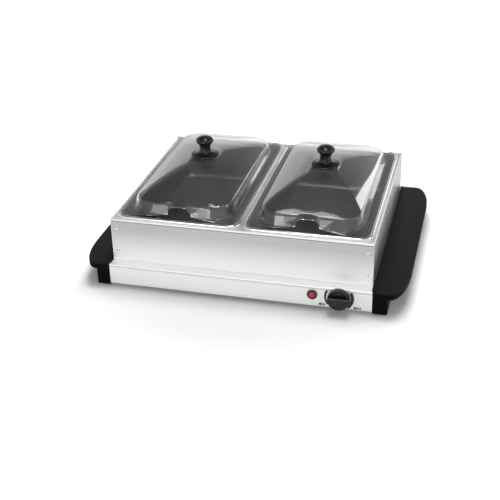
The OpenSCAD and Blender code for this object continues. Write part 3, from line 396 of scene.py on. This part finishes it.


# Handles: moulded black end caps, each with a thin wing to lift the server by. Wing and cap are one
# moulding, satin on top and smooth at the sides, screwed to the base from below. Painted shade makes
# the sides blacker than the top.
def edge_profile(low, high, under, over, steps=6):
    """Insets and heights of a slab's edge from its underside to its top, both corners quarter rounds."""
    bend = np.radians(np.linspace(0, 90, steps + 1))
    inset = np.concatenate([under * (1 - np.sin(bend)), over * (1 - np.cos(bend))])
    height = np.concatenate([low + under * (1 - np.cos(bend)), high - over * (1 - np.sin(bend))])
    return inset, height


def rounded_rings(half_x, half_y, corner, height, steps=10):
    """Rounded rectangles, one a row: each corner is a quarter circle about its own centre."""
    turn = np.radians(90 * np.arange(4)[:, None] + np.linspace(0, 90, steps + 1))
    side_x = np.array([1, -1, -1, 1])[:, None]
    side_y = np.array([1, 1, -1, -1])[:, None]
    half_x, half_y, corner, height = (
        np.atleast_1d(value)[:, None, None] for value in np.broadcast_arrays(half_x, half_y, corner, height)
    )
    x = side_x * (half_x - corner) + corner * np.cos(turn)
    y = side_y * (half_y - corner) + corner * np.sin(turn)
    return np.stack([x, y, height + 0 * x], axis=-1).reshape(len(height), -1, 3)


def wing(side, root, reach, front, straight, corner_y, low, high):
    """Wing of a handle: its plan is drawn in by the edge profile's inset, row by row.

    The plan runs straight along the front edge, round a quarter ellipse to the outer side, and back
    again behind; it is mirrored by side, with its columns reversed so that it still faces outwards.
    """
    inset, height = edge_profile(low, high, wing_under, wing_over)
    inset = inset[:, None]
    turn = np.radians(np.linspace(0, 90, 15))
    bow_x = straight + (reach - straight - inset) * np.sin(turn)
    bow_y = front - corner_y + (corner_y - inset) * np.cos(turn)
    x = np.concatenate([root + 0 * inset, bow_x, bow_x[:, ::-1], root + 0 * inset], axis=1)
    y = np.concatenate([inset - front, -bow_y, bow_y[:, ::-1], front - inset], axis=1)
    grid = np.stack([side * x, y, height[:, None] + 0 * x], axis=-1)
    return surface(grid[:, ::side], around=True, first=True, last=True)


def end_cap(side, inner, outer, front, low, high):
    """Cap of a handle: a block whose upright corners and outer edges are rounded."""
    inset, height = edge_profile(low, high, cap_round, cap_round)
    half_x = (outer - inner) / 2 - inset
    grid = rounded_rings(half_x, front - cap_set_back - inset, cap_corner - inset / 2, height)
    grid[..., 0] += side * (inner + outer) / 2
    return surface(grid, around=True, first=True, last=True)


def end_lip(side, inner, outer, front, sheet_z, top, foot):
    """Thin lip of the cap over the raw end of the sheet: one angled section carried straight along Y."""
    section = np.array([
        (inner, sheet_z), (outer - lip_wall, sheet_z), (outer - lip_wall, foot), (outer, foot),
        (outer, top - lip_ease), (outer - lip_ease, top), (inner + lip_ease, top), (inner, top - lip_ease)
    ])
    along = np.array([front, -front])[:, None]
    x, z = side * section[:, 0] + 0 * along, section[:, 1] + 0 * along
    grid = np.stack([x, along + 0 * x, z], axis=-1)
    return surface(grid[:, ::side], around=True, first=True, last=True)


wing_h, wing_under, wing_over = 0.010, 0.0035, 0.0012
wing_straight, wing_corner = 0.202, 0.066
lip_ease, lip_wall, lip_over, lip_h = 0.0002, 0.0017, 0.0013, 0.0006
cap_w, cap_round, cap_corner = 0.020, 0.0012, 0.0025
cap_drop, cap_set_back = 0.0009, 0.0005
rest_gap = 0.00005
handle_black = grained(
    "handle_black", (0.011, 0.011, 0.011), (0.017, 0.017, 0.017), 1500, (0.45, 0.60), 0.00003,
    Specular_IOR_Level=0.05
)
face_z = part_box("left_handle")[1].z - cap_drop - rest_gap
# Below the top face the moulding is painted near black as painted shade.
painted_side_shade = (0.003, 0.003, 0.003)
painted_by_height(handle_black, face_z, face_z - fold_fade, painted_side_shade, fold_rough)
for side, name in ((-1, "left_handle"), (1, "right_handle")):
    low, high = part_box(name)
    reach = max(abs(low.x), abs(high.x))
    root = skirt_high.x
    piece(name + "_moulding", [
        wing(side, root, reach, high.y, wing_straight, wing_corner, high.z - wing_h, high.z),
        end_cap(side, root, root + cap_w, high.y, low.z, high.z - cap_drop),
        end_lip(
            side, root - lip_over, root + lip_wall + rest_gap, high.y - 2 * wing_over,
            skirt_high.z + rest_gap, skirt_high.z + lip_h, high.z - wing_over
        )
    ], handle_black, "base", "handle_black", name)

# Feet and fixings below: four rubber feet pressed into the caps, a sheet cover over the base's belly
# with six screws, and four screws up into the handles.
foot_rubber = grained(
    "foot_rubber", (0.030, 0.030, 0.032), (0.055, 0.055, 0.056), 700, (0.70, 0.90), 0.00005
)
zinc_steel = grained(
    "zinc_steel", (0.50, 0.51, 0.52), (0.66, 0.67, 0.67), 260, (0.30, 0.45), 0.00002, Metallic=1.0
)
dress(foot_rubber, "rubber_feet")
dress(zinc_steel, "bottom_cover", "cover_screws", "handle_screws")

# Heater: a sheathed element strapped to an aluminium plate under the base's top, with a fibre pad
# below it in a plated tray on four welded studs.
plate_aluminium = grained(
    "plate_aluminium", (0.62, 0.63, 0.64), (0.76, 0.76, 0.77), (8, 500, 500), (0.30, 0.45), 0.00003,
    Metallic=1.0
)
element_sheath = grained(
    "element_sheath", (0.10, 0.09, 0.08), (0.24, 0.22, 0.20), 180, (0.45, 0.65), 0.00003, Metallic=1.0
)
pad_fibre = grained(
    "pad_fibre", (0.62, 0.58, 0.48), (0.84, 0.81, 0.72), (90, 900, 500), (0.85, 1.0), 0.0004, detail=8.0
)
dress(plate_aluminium, "heat_spreader")
dress(element_sheath, "heating_element")
dress(zinc_steel, "element_clips", "heat_shield", "shield_studs", "shield_nuts")
dress(pad_fibre, "insulation_pad")

# Thermostat, terminals and leads: a ceramic switch body clamped behind the skirt by its nut, a ceramic
# terminal block, a thermal fuse by the element, silicone leads between them and a nylon cord gland.
ceramic_cream = grained(
    "ceramic_cream", (0.66, 0.62, 0.52), (0.80, 0.77, 0.68), 350, (0.50, 0.70), 0.00004
)
lead_red = grained("lead_red", (0.36, 0.022, 0.020), (0.52, 0.045, 0.036), 300, (0.40, 0.55), 0.00003)
gland_black = grained(
    "gland_black", (0.018, 0.018, 0.018), (0.032, 0.032, 0.033), 800, (0.38, 0.52), 0.00003,
    Specular_IOR_Level=0.35
)
dress(ceramic_cream, "thermostat_body", "terminal_block")
dress(zinc_steel, "thermostat_nut", "thermostat_shaft", "lamp_clip")
dress(plate_aluminium, "thermal_fuse")
dress(lead_red, "wiring")
dress(gland_black, "cord_gland", "gland_nut")

# Pilot lamp: a red moulded lens with a low dome in a black bezel, over a neon bulb, held from behind
# by a spring ring.
lens_red = grained(
    "lens_red", (0.70, 0.035, 0.045), (0.84, 0.065, 0.075), 500, (0.08, 0.16), 0.00002,
    Transmission_Weight=0.35, IOR=1.49
)
bulb_glass = grained(
    "bulb_glass", (0.80, 0.34, 0.12), (0.92, 0.48, 0.20), 400, (0.04, 0.10), 0.00001,
    Transmission_Weight=0.6, IOR=1.5
)
dress(gland_black, "lamp_bezel")
dress(lens_red, "lamp_lens")
dress(bulb_glass, "neon_bulb")


# Control dial: a glossy black moulding, a shallow disc with a bar across it to grip, pushed onto the
# flat of the thermostat's shaft.
def bowed(start, corner, end, steps):
    """Quadratic curve from start to end that leaves towards corner and arrives from it."""
    share = np.linspace(0, 1, steps + 1)[:, None]
    return (1 - share) ** 2 * start + 2 * share * (1 - share) * corner + share ** 2 * end


def softened(path, radii, steps=6):
    """A path of points in any number of dimensions with its inner corners rounded.

    Each corner becomes a quadratic curve from radius before it to radius after it; radius 0 keeps it.
    """
    path = np.asarray(path, float)
    rounds = [path[:1]]
    for before, corner, after, radius in zip(path[:-2], path[1:-1], path[2:], radii):
        start = corner + radius * (before - corner) / np.linalg.norm(before - corner)
        end = corner + radius * (after - corner) / np.linalg.norm(after - corner)
        rounds.append(bowed(start, corner, end, steps) if radius else corner[None])
    return np.concatenate(rounds + [path[-1:]])


def turned(profile, steps=96):
    """Surface of revolution about local Z: each row of the profile is a radius and a height."""
    angle = np.linspace(0, 2 * np.pi, steps, endpoint=False)
    radius, height = profile[:, :1], profile[:, 1:]
    return np.stack([radius * np.cos(angle), radius * np.sin(angle), height + 0 * angle], axis=-1)


def facing_front(grid):
    """Takes a shape drawn with its local Z up to the dial's axis, with that Z out of the front skirt."""
    x, y, z = np.moveaxis(grid, -1, 0)
    return np.stack([dial_x + x, skirt_low.y - z, dial_z + y], axis=-1)


def grip_bar(half_w, radius, low, high, edge):
    """Bar across the dial: a strip of a circle, drawn in by its edge profile's inset, row by row."""
    inset, height = edge_profile(low, high, 0.0, edge)
    inset = inset[:, None]
    half_w = half_w - inset
    radius = radius - inset
    spread = np.arcsin(half_w / radius) * np.linspace(-1, 1, 9)
    angle = np.concatenate([spread, np.pi + spread], axis=1)
    x, y = radius * np.cos(angle), radius * np.sin(angle)
    return np.stack([x, y, height[:, None] + 0 * x], axis=-1)


def painted_grip_highlights(finish, middle_z, edge, front_y, pale):
    """Makes a finish paler along the two long edges of the grip bar, as painted highlights.

    The share is 1 at the edge's distance from the bar's middle line, falls to 0 over highlight_w on both
    sides of that, and holds only in front of front_y.
    """
    tree = finish.node_tree
    from_middle = worked_out(tree, "ABSOLUTE", worked_out(tree, "SUBTRACT", coordinate(tree, "Z"), middle_z))
    from_edge = worked_out(tree, "ABSOLUTE", worked_out(tree, "SUBTRACT", from_middle, edge))
    line = ramped(tree, from_edge, highlight_w, 0, 0, 1)
    proud = worked_out(tree, "LESS_THAN", coordinate(tree, "Y"), front_y)
    return blended(finish, worked_out(tree, "MULTIPLY", line, proud), [("Base Color", "RGBA", (*pale, 1))])


dial_r = (dial_high.x - dial_low.x) / 2
dial_h = skirt_low.y - dial_low.y
dial_gap = skirt_low.y - dial_high.y
disc_h, hollow_r, hollow_h = 0.0085, 0.010, 0.006
disc_land, dish_in, dish_drop, dish_deep = 0.0022, 0.0034, 0.0012, 0.0016
disc_rounds = (0, 0, 0.0004, 0.0010, 0.0007, 0.0005)
disc_profile = softened([
    (0, hollow_h), (hollow_r, hollow_h), (hollow_r, dial_gap), (dial_r, dial_gap), (dial_r, disc_h),
    (dial_r - disc_land, disc_h), (dial_r - dish_in, disc_h - dish_drop), (0, disc_h - dish_deep)
], disc_rounds)
grip_half, grip_short, grip_low, grip_round = 0.0046, 0.0006, 0.005, 0.0020
# Painted highlights along the grip bar's edges: their width, distance from the dial's middle line and colour.
highlight_w, highlight_edge, highlight_pale = 0.0009, 0.0039, (0.055, 0.055, 0.056)
dial_black = painted_grip_highlights(grained(
    "dial_black", (0.005, 0.005, 0.006), (0.011, 0.011, 0.012), 420, (0.16, 0.26), 0.00002,
    Specular_IOR_Level=0.3
), dial_z, highlight_edge, skirt_low.y - disc_h, highlight_pale)
disc = facing_front(turned(disc_profile))
bar = facing_front(grip_bar(grip_half, dial_r - grip_short, grip_low, dial_h, grip_round))
piece("dial_moulding", [
    surface(disc, around=True), surface(bar, around=True, first=True, last=True)
], dial_black, "dial", "dial_black", "control_dial")


# Frame: four brushed stainless panels with folded top and foot flanges, riveted at the corners, and a
# rail between the pans. It stands loose on the base. Each top fold is painted bright as a painted
# highlight over a painted shadow line, the front and rear panels are painted brighter towards the foot
# as painted light, and the side panels' feet are painted dark as painted shade.
def panel_steel(name, scale, rough):
    """Brushed sheet of the frame, with finger marks and the grain along one axis."""
    plain = grained(
        name, (0.51, 0.505, 0.50), (0.57, 0.565, 0.56), scale, rough, 0.00003, Metallic=1.0, Anisotropic=0.4
    )
    return handled(plain, 0.08, 0.06)


frame_steel = panel_steel("frame_steel", (grain_along, grain_across, grain_across), (0.42, 0.50))
side_steel = panel_steel("side_steel", (grain_across, grain_along, grain_across), (0.30, 0.38))
rivet_steel = grained(
    "rivet_steel", (0.62, 0.62, 0.61), (0.72, 0.72, 0.71), 400, (0.10, 0.18), 0.00001, Metallic=1.0
)
frame_low, frame_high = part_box("frame_front_panel")
foot_fold, top_fold, shadow_line_h = 0.0024, 0.0020, 0.0014
front_fade, side_fade = 0.045, 0.004
foot_z, fold_z = frame_low.z + foot_fold, frame_high.z - top_fold
# Painted highlight on the top folds, and a painted shadow line just under them.
painted_fold_highlight, painted_crease_shadow = (0.90, 0.90, 0.895), (0.30, 0.30, 0.30)
painted_foot_highlight, painted_foot_shade = (0.94, 0.94, 0.935), (0.12, 0.12, 0.12)
# Front and rear panels painted brighter towards the foot as painted light.
painted_by_height(frame_steel, foot_z + front_fade, foot_z, painted_foot_highlight, fold_rough)
# Side panels' feet painted near black as painted shade.
painted_by_height(side_steel, foot_z + side_fade, foot_z, painted_foot_shade, fold_rough)
for steel in (frame_steel, side_steel):
    painted_by_height(steel, fold_z - shadow_line_h - fold_fade, fold_z - shadow_line_h, painted_crease_shadow, fold_rough)
    painted_by_height(steel, fold_z - fold_fade, fold_z, painted_fold_highlight, fold_rough)
dress(frame_steel, "frame_front_panel", "frame_rear_panel")
dress(rivet_steel, "frame_rivets")
dress(side_steel, "frame_left_panel", "frame_right_panel", "center_rail")


# Pans: each is one drawn stainless sheet, a turned rim on the frame's flange, a ledge for the lid and a
# deep well with round corners. The rim is polished and the outside plain satin; ledge and well are satin
# steel painted near black as painted shade.
def pan_grid(middle_x, outer_x, outer_y, foot, rim, floor):
    """Rounded rectangles along the pan's section, from the rim's outer edge over the ledge to the floor.

    The section is a path of inset from the rim's outline and height, its bends rounded; the corner
    radius goes with the inset.
    """
    ledge = rim - ledge_drop
    well_in = rim_w + ledge_w
    floor_in = well_in + well_draft
    path = softened([
        (0, foot), (0, rim), (rim_w, rim), (rim_w, ledge), (well_in, ledge), (floor_in, floor),
        (floor_inset, floor)
    ], pan_rounds)
    inset, height = path.T
    corner = np.interp(
        inset, (0, rim_w, well_in, floor_in, floor_inset),
        (rim_corner, rim_corner - rim_w, well_corner, well_corner - well_draft / 2, floor_corner)
    )
    grid = rounded_rings(outer_x - inset, outer_y - inset, corner, height, corner_steps)
    grid[..., 0] += middle_x
    return grid


def walled(made, thickness):
    """Gives a single surface its wall, on the side away from its faces."""
    wall = made.modifiers.new("wall", "SOLIDIFY")
    wall.thickness = thickness
    wall.offset = -1
    wall.use_even_offset = True
    return wall


corner_steps = 14
rim_w, rim_corner, ledge_drop, ledge_w = 0.0045, 0.018, 0.003, 0.0035
well_draft, well_corner, floor_inset, floor_corner = 0.007, 0.016, 0.045, 0.006
pan_rounds, pan_wall = (0.0024, 0.0018, 0.0011, 0.0016, 0.0055), 0.001
# Ledge and well steel painted near black as painted shade.
well_steel_painted_shade = handled(grained(
    "well_steel_painted_shade", (0.095, 0.094, 0.093), (0.118, 0.116, 0.115), 500, (0.28, 0.34), 0.00001, Metallic=1.0
), 0.05, 0.03)
rim_steel = grained(
    "rim_steel", (0.80, 0.795, 0.785), (0.86, 0.855, 0.845), 400, (0.12, 0.18), 0.00001, Metallic=1.0
)
outer_steel = grained(
    "outer_steel", (0.58, 0.575, 0.57), (0.66, 0.655, 0.65), 500, (0.30, 0.38), 0.00001, Metallic=1.0
)
for name in ("left_pan", "right_pan"):
    low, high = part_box(name)
    outline = ((low.x + high.x) / 2, (high.x - low.x) / 2, (high.y - low.y) / 2)
    grid = pan_grid(*outline, frame_high.z + rest_gap, high.z, low.z + pan_wall)
    pan = piece(name + "_sheet", [surface(grid, around=True, last=True)], well_steel_painted_shade, name, "pan_steel", name)
    pan.data.materials.append(rim_steel)
    pan.data.materials.append(outer_steel)
    middles = np.empty(3 * len(pan.data.polygons))
    pan.data.polygons.foreach_get("center", middles)
    on_rim = middles[2::3] > high.z - ledge_drop + rest_gap
    pan.data.polygons.foreach_set("material_index", on_rim.astype(np.int32))
    walled(pan, pan_wall).material_offset = pan.data.materials.find("outer_steel")


# Lids: clear moulded plastic, a flat flange on the pan's ledge, steep walls and a low crown that rises
# to a round boss for the knob. An arched notch in the front wall lets a ladle stay in the pan.
def lid_section(outer_x, outer_y, base, top):
    """Rows of half width, half depth, corner radius and height from the flange's edge to the boss.

    Between the shoulder and the boss, a row is the shoulder's outline shrunk by a share, and its
    height falls with the square of that share.
    """
    share = np.linspace(*crown_span, crown_rows)
    shoulder_x, shoulder_y = outer_x - lid_flange - wall_lean, outer_y - lid_flange - wall_lean
    crown = np.stack([
        share * shoulder_x, share * shoulder_y,
        share * (lid_corner + (shoulder_x - lid_corner) * (1 - share)),
        shoulder_z + crown_rise * (1 - share ** 2)
    ], axis=-1)
    leg_lean = wall_lean * (notch_leg - base) / (shoulder_z - base)
    foot = np.array([outer_x - lid_flange, outer_y - lid_flange, lid_corner + wall_lean, base])
    lean = np.array([1, 1, 1, 0])
    skirt = softened([
        (outer_x, outer_y, flange_corner, base), foot,
        foot - leg_lean * lean + (0, 0, 0, notch_leg - base),
        foot - wall_lean * lean + (0, 0, 0, shoulder_z - base), crown[0]
    ], lid_rounds, steps=8)
    boss_foot = boss_r + boss_flare
    boss = softened([
        crown[-1], (boss_foot, boss_foot, boss_foot, top - boss_h),
        (boss_r, boss_r, boss_r, top), (bore_r, bore_r, bore_r, top)
    ], boss_rounds, steps=4)
    return np.concatenate([skirt, crown[1:], boss[1:]])


def lid_surface(middle_x, rows):
    """Rounded rectangles along the section, with extra columns across the front wall for the notch.

    A column that meets the notch starts at the arch instead of the flange: its rows from the top of
    the notch's legs to a quarter up the crown are spread evenly over what is left of the section.
    """
    half_x, half_y, corner, height = rows.T
    way = np.concatenate([[0], np.cumsum(np.linalg.norm(np.diff(rows, axis=0), axis=1))])
    leg = int(np.argmin(np.abs(height - notch_leg)))
    crown = int(np.argmin(np.abs(height - shoulder_z - crown_rise / 4)))
    turn = np.radians(np.linspace(0, 90, 9))
    arch_x = np.concatenate([[0], notch_half - notch_round * (1 - np.sin(turn))])
    arch_z = np.concatenate([[notch_top], notch_top - notch_round * (1 - np.cos(turn))])
    front_x = np.concatenate([-arch_x[:0:-1], arch_x])
    arch_z = np.concatenate([arch_z[:0:-1], arch_z])
    start = np.interp(arch_z, height[leg:], way[leg:])
    spread = (way[:, None] - way[leg]) / (way[crown] - way[leg])
    along = start + (way[crown] - start) * spread
    along = np.where((way >= way[crown])[:, None], way[:, None], np.maximum(along, start))
    straight = np.interp(along, way, np.minimum(1, (half_x - corner) / (half_x - corner)[leg]))
    front = np.stack([
        front_x * straight, -np.interp(along, way, half_y), np.interp(along, way, height)
    ], axis=-1)
    rings = rounded_rings(half_x, half_y, corner, height, corner_steps)
    last_corner = rings.shape[1] * 3 // 4
    grid = np.concatenate([rings[:, :last_corner], front, rings[:, last_corner:]], axis=1)
    grid[..., 0] += middle_x
    points, faces = surface(grid, around=True)
    row, column = np.divmod(np.array([face[0] for face in faces]), grid.shape[1])
    in_notch = (row < leg) & (column >= last_corner) & (column < last_corner + len(front_x) - 1)
    return points, [face for face, cut in zip(faces, in_notch) if not cut]


def clear_plastic():
    """Clear plastic that bends what is seen through it and lets the lamps through."""
    finish = grained(
        "lid_clear", (0.820, 0.795, 0.785), (0.850, 0.828, 0.818), 120, (0.02, 0.05), 0.00001,
        Transmission_Weight=0.985, IOR=1.49
    )
    tree = finish.node_tree
    open_way = tree.nodes.new("ShaderNodeBsdfTransparent")
    open_way.inputs["Color"].default_value = (*lid_shade, 1)
    either = tree.nodes.new("ShaderNodeMixShader")
    tree.links.new(ray_share(tree, "Is Shadow Ray"), either.inputs["Fac"])
    tree.links.new(tree.nodes["Principled BSDF"].outputs["BSDF"], either.inputs[1])
    tree.links.new(open_way.outputs["BSDF"], either.inputs[2])
    tree.links.new(either.outputs["Shader"], tree.nodes["Material Output"].inputs["Surface"])
    return finish


lid_wall, lid_flange, flange_corner, lid_corner, wall_lean = 0.002, 0.0098, 0.013, 0.027, 0.004
shoulder_h, crown_span, crown_rows = 0.0185, (0.94, 0.30), 14
boss_r, boss_h, boss_flare, bore_r = 0.0185, 0.0006, 0.0005, 0.0022
notch_half, notch_round, notch_h = 0.016, 0.0115, 0.015
lid_rounds, boss_rounds = (0.0012, 0, 0.0035), (0.0004, 0.0004)
edge_ease, edge_angle = 0.0003, math.radians(50)
lid_shade = (0.90, 0.89, 0.89)
lid_clear = clear_plastic()
for side in ("left", "right"):
    low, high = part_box(side + "_lid")
    flange_top = low.z + lid_wall + rest_gap
    notch_top = low.z + notch_h
    notch_leg = notch_top - notch_round
    shoulder_z = low.z + shoulder_h
    crown_rise = high.z - boss_h - shoulder_z
    rows = lid_section((high.x - low.x) / 2, (high.y - low.y) / 2, flange_top, high.z)
    shell = lid_surface((low.x + high.x) / 2, rows)
    lid = piece(side + "_lid_shell", [shell], lid_clear, side + "_lid", "lid_clear", side + "_lid")
    walled(lid, lid_wall)
    edge = lid.modifiers.new("edge", "BEVEL")
    edge.width = edge_ease
    edge.segments = 2
    edge.angle_limit = edge_angle
    edge.harden_normals = True


# Lid knobs: glossy black mouldings, a flat foot, a flare to a narrow neck and a round bulb.
# A screw and washer from under the lid hold each one.
def knob_profile(seat_z, top_z):
    """Radius and height from the middle of the underside to the top: foot, concave flare, neck, bulb.

    The flare is a quadratic curve from the foot to the neck, and the bulb is a cone under a full dome.
    """
    edge_z = seat_z + foot_h
    neck_z = edge_z + flare_h
    throat_z = neck_z + neck_h
    bulb_z = top_z - dome_h
    foot = softened([
        (0, seat_z), (foot_r, seat_z), (foot_r, edge_z), (foot_r - foot_land, edge_z + foot_slope)
    ], foot_rounds)
    bend = np.array([neck_r + flare_bend, edge_z + flare_bend])
    flare = bowed(foot[-1], bend, np.array([neck_r, neck_z]), 8)
    under = softened([
        flare[-1], (neck_r, throat_z), (bulb_r - bulb_in, bulb_z - bulb_under), (bulb_r, bulb_z)
    ], bulb_rounds)
    turn = np.radians(np.linspace(0, 90, 14))[1:]
    over = np.stack([bulb_r * np.cos(turn), bulb_z + (top_z - bulb_z) * np.sin(turn) ** dome_full], axis=-1)
    return np.concatenate([foot, flare[1:-1], under, over])


foot_r, neck_r, bulb_r = 0.020, 0.0080, 0.01275
foot_h, flare_h, neck_h, dome_h = 0.0020, 0.0060, 0.0075, 0.0070
foot_land, foot_slope, flare_bend = 0.0016, 0.0004, 0.0012
bulb_in, bulb_under, dome_full = 0.0008, 0.0016, 0.9
foot_rounds, bulb_rounds = (0.0006, 0.0009), (0.0022, 0.0014)
knob_black = grained(
    "knob_black", (0.008, 0.008, 0.010), (0.016, 0.016, 0.018), 300, (0.14, 0.22), 0.00001,
    Specular_IOR_Level=0.4
)
for side in ("left", "right"):
    low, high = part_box(side + "_lid_knob")
    grid = turned(knob_profile(low.z, high.z))
    grid[..., 0] += (low.x + high.x) / 2
    grid[..., 1] += (low.y + high.y) / 2
    knob = [surface(grid, around=True)]
    piece(side + "_knob_moulding", knob, knob_black, side + "_lid", "knob_black", side + "_lid_knob")
dress(zinc_steel, "left_knob_screw", "right_knob_screw", "left_knob_washer", "right_knob_washer")
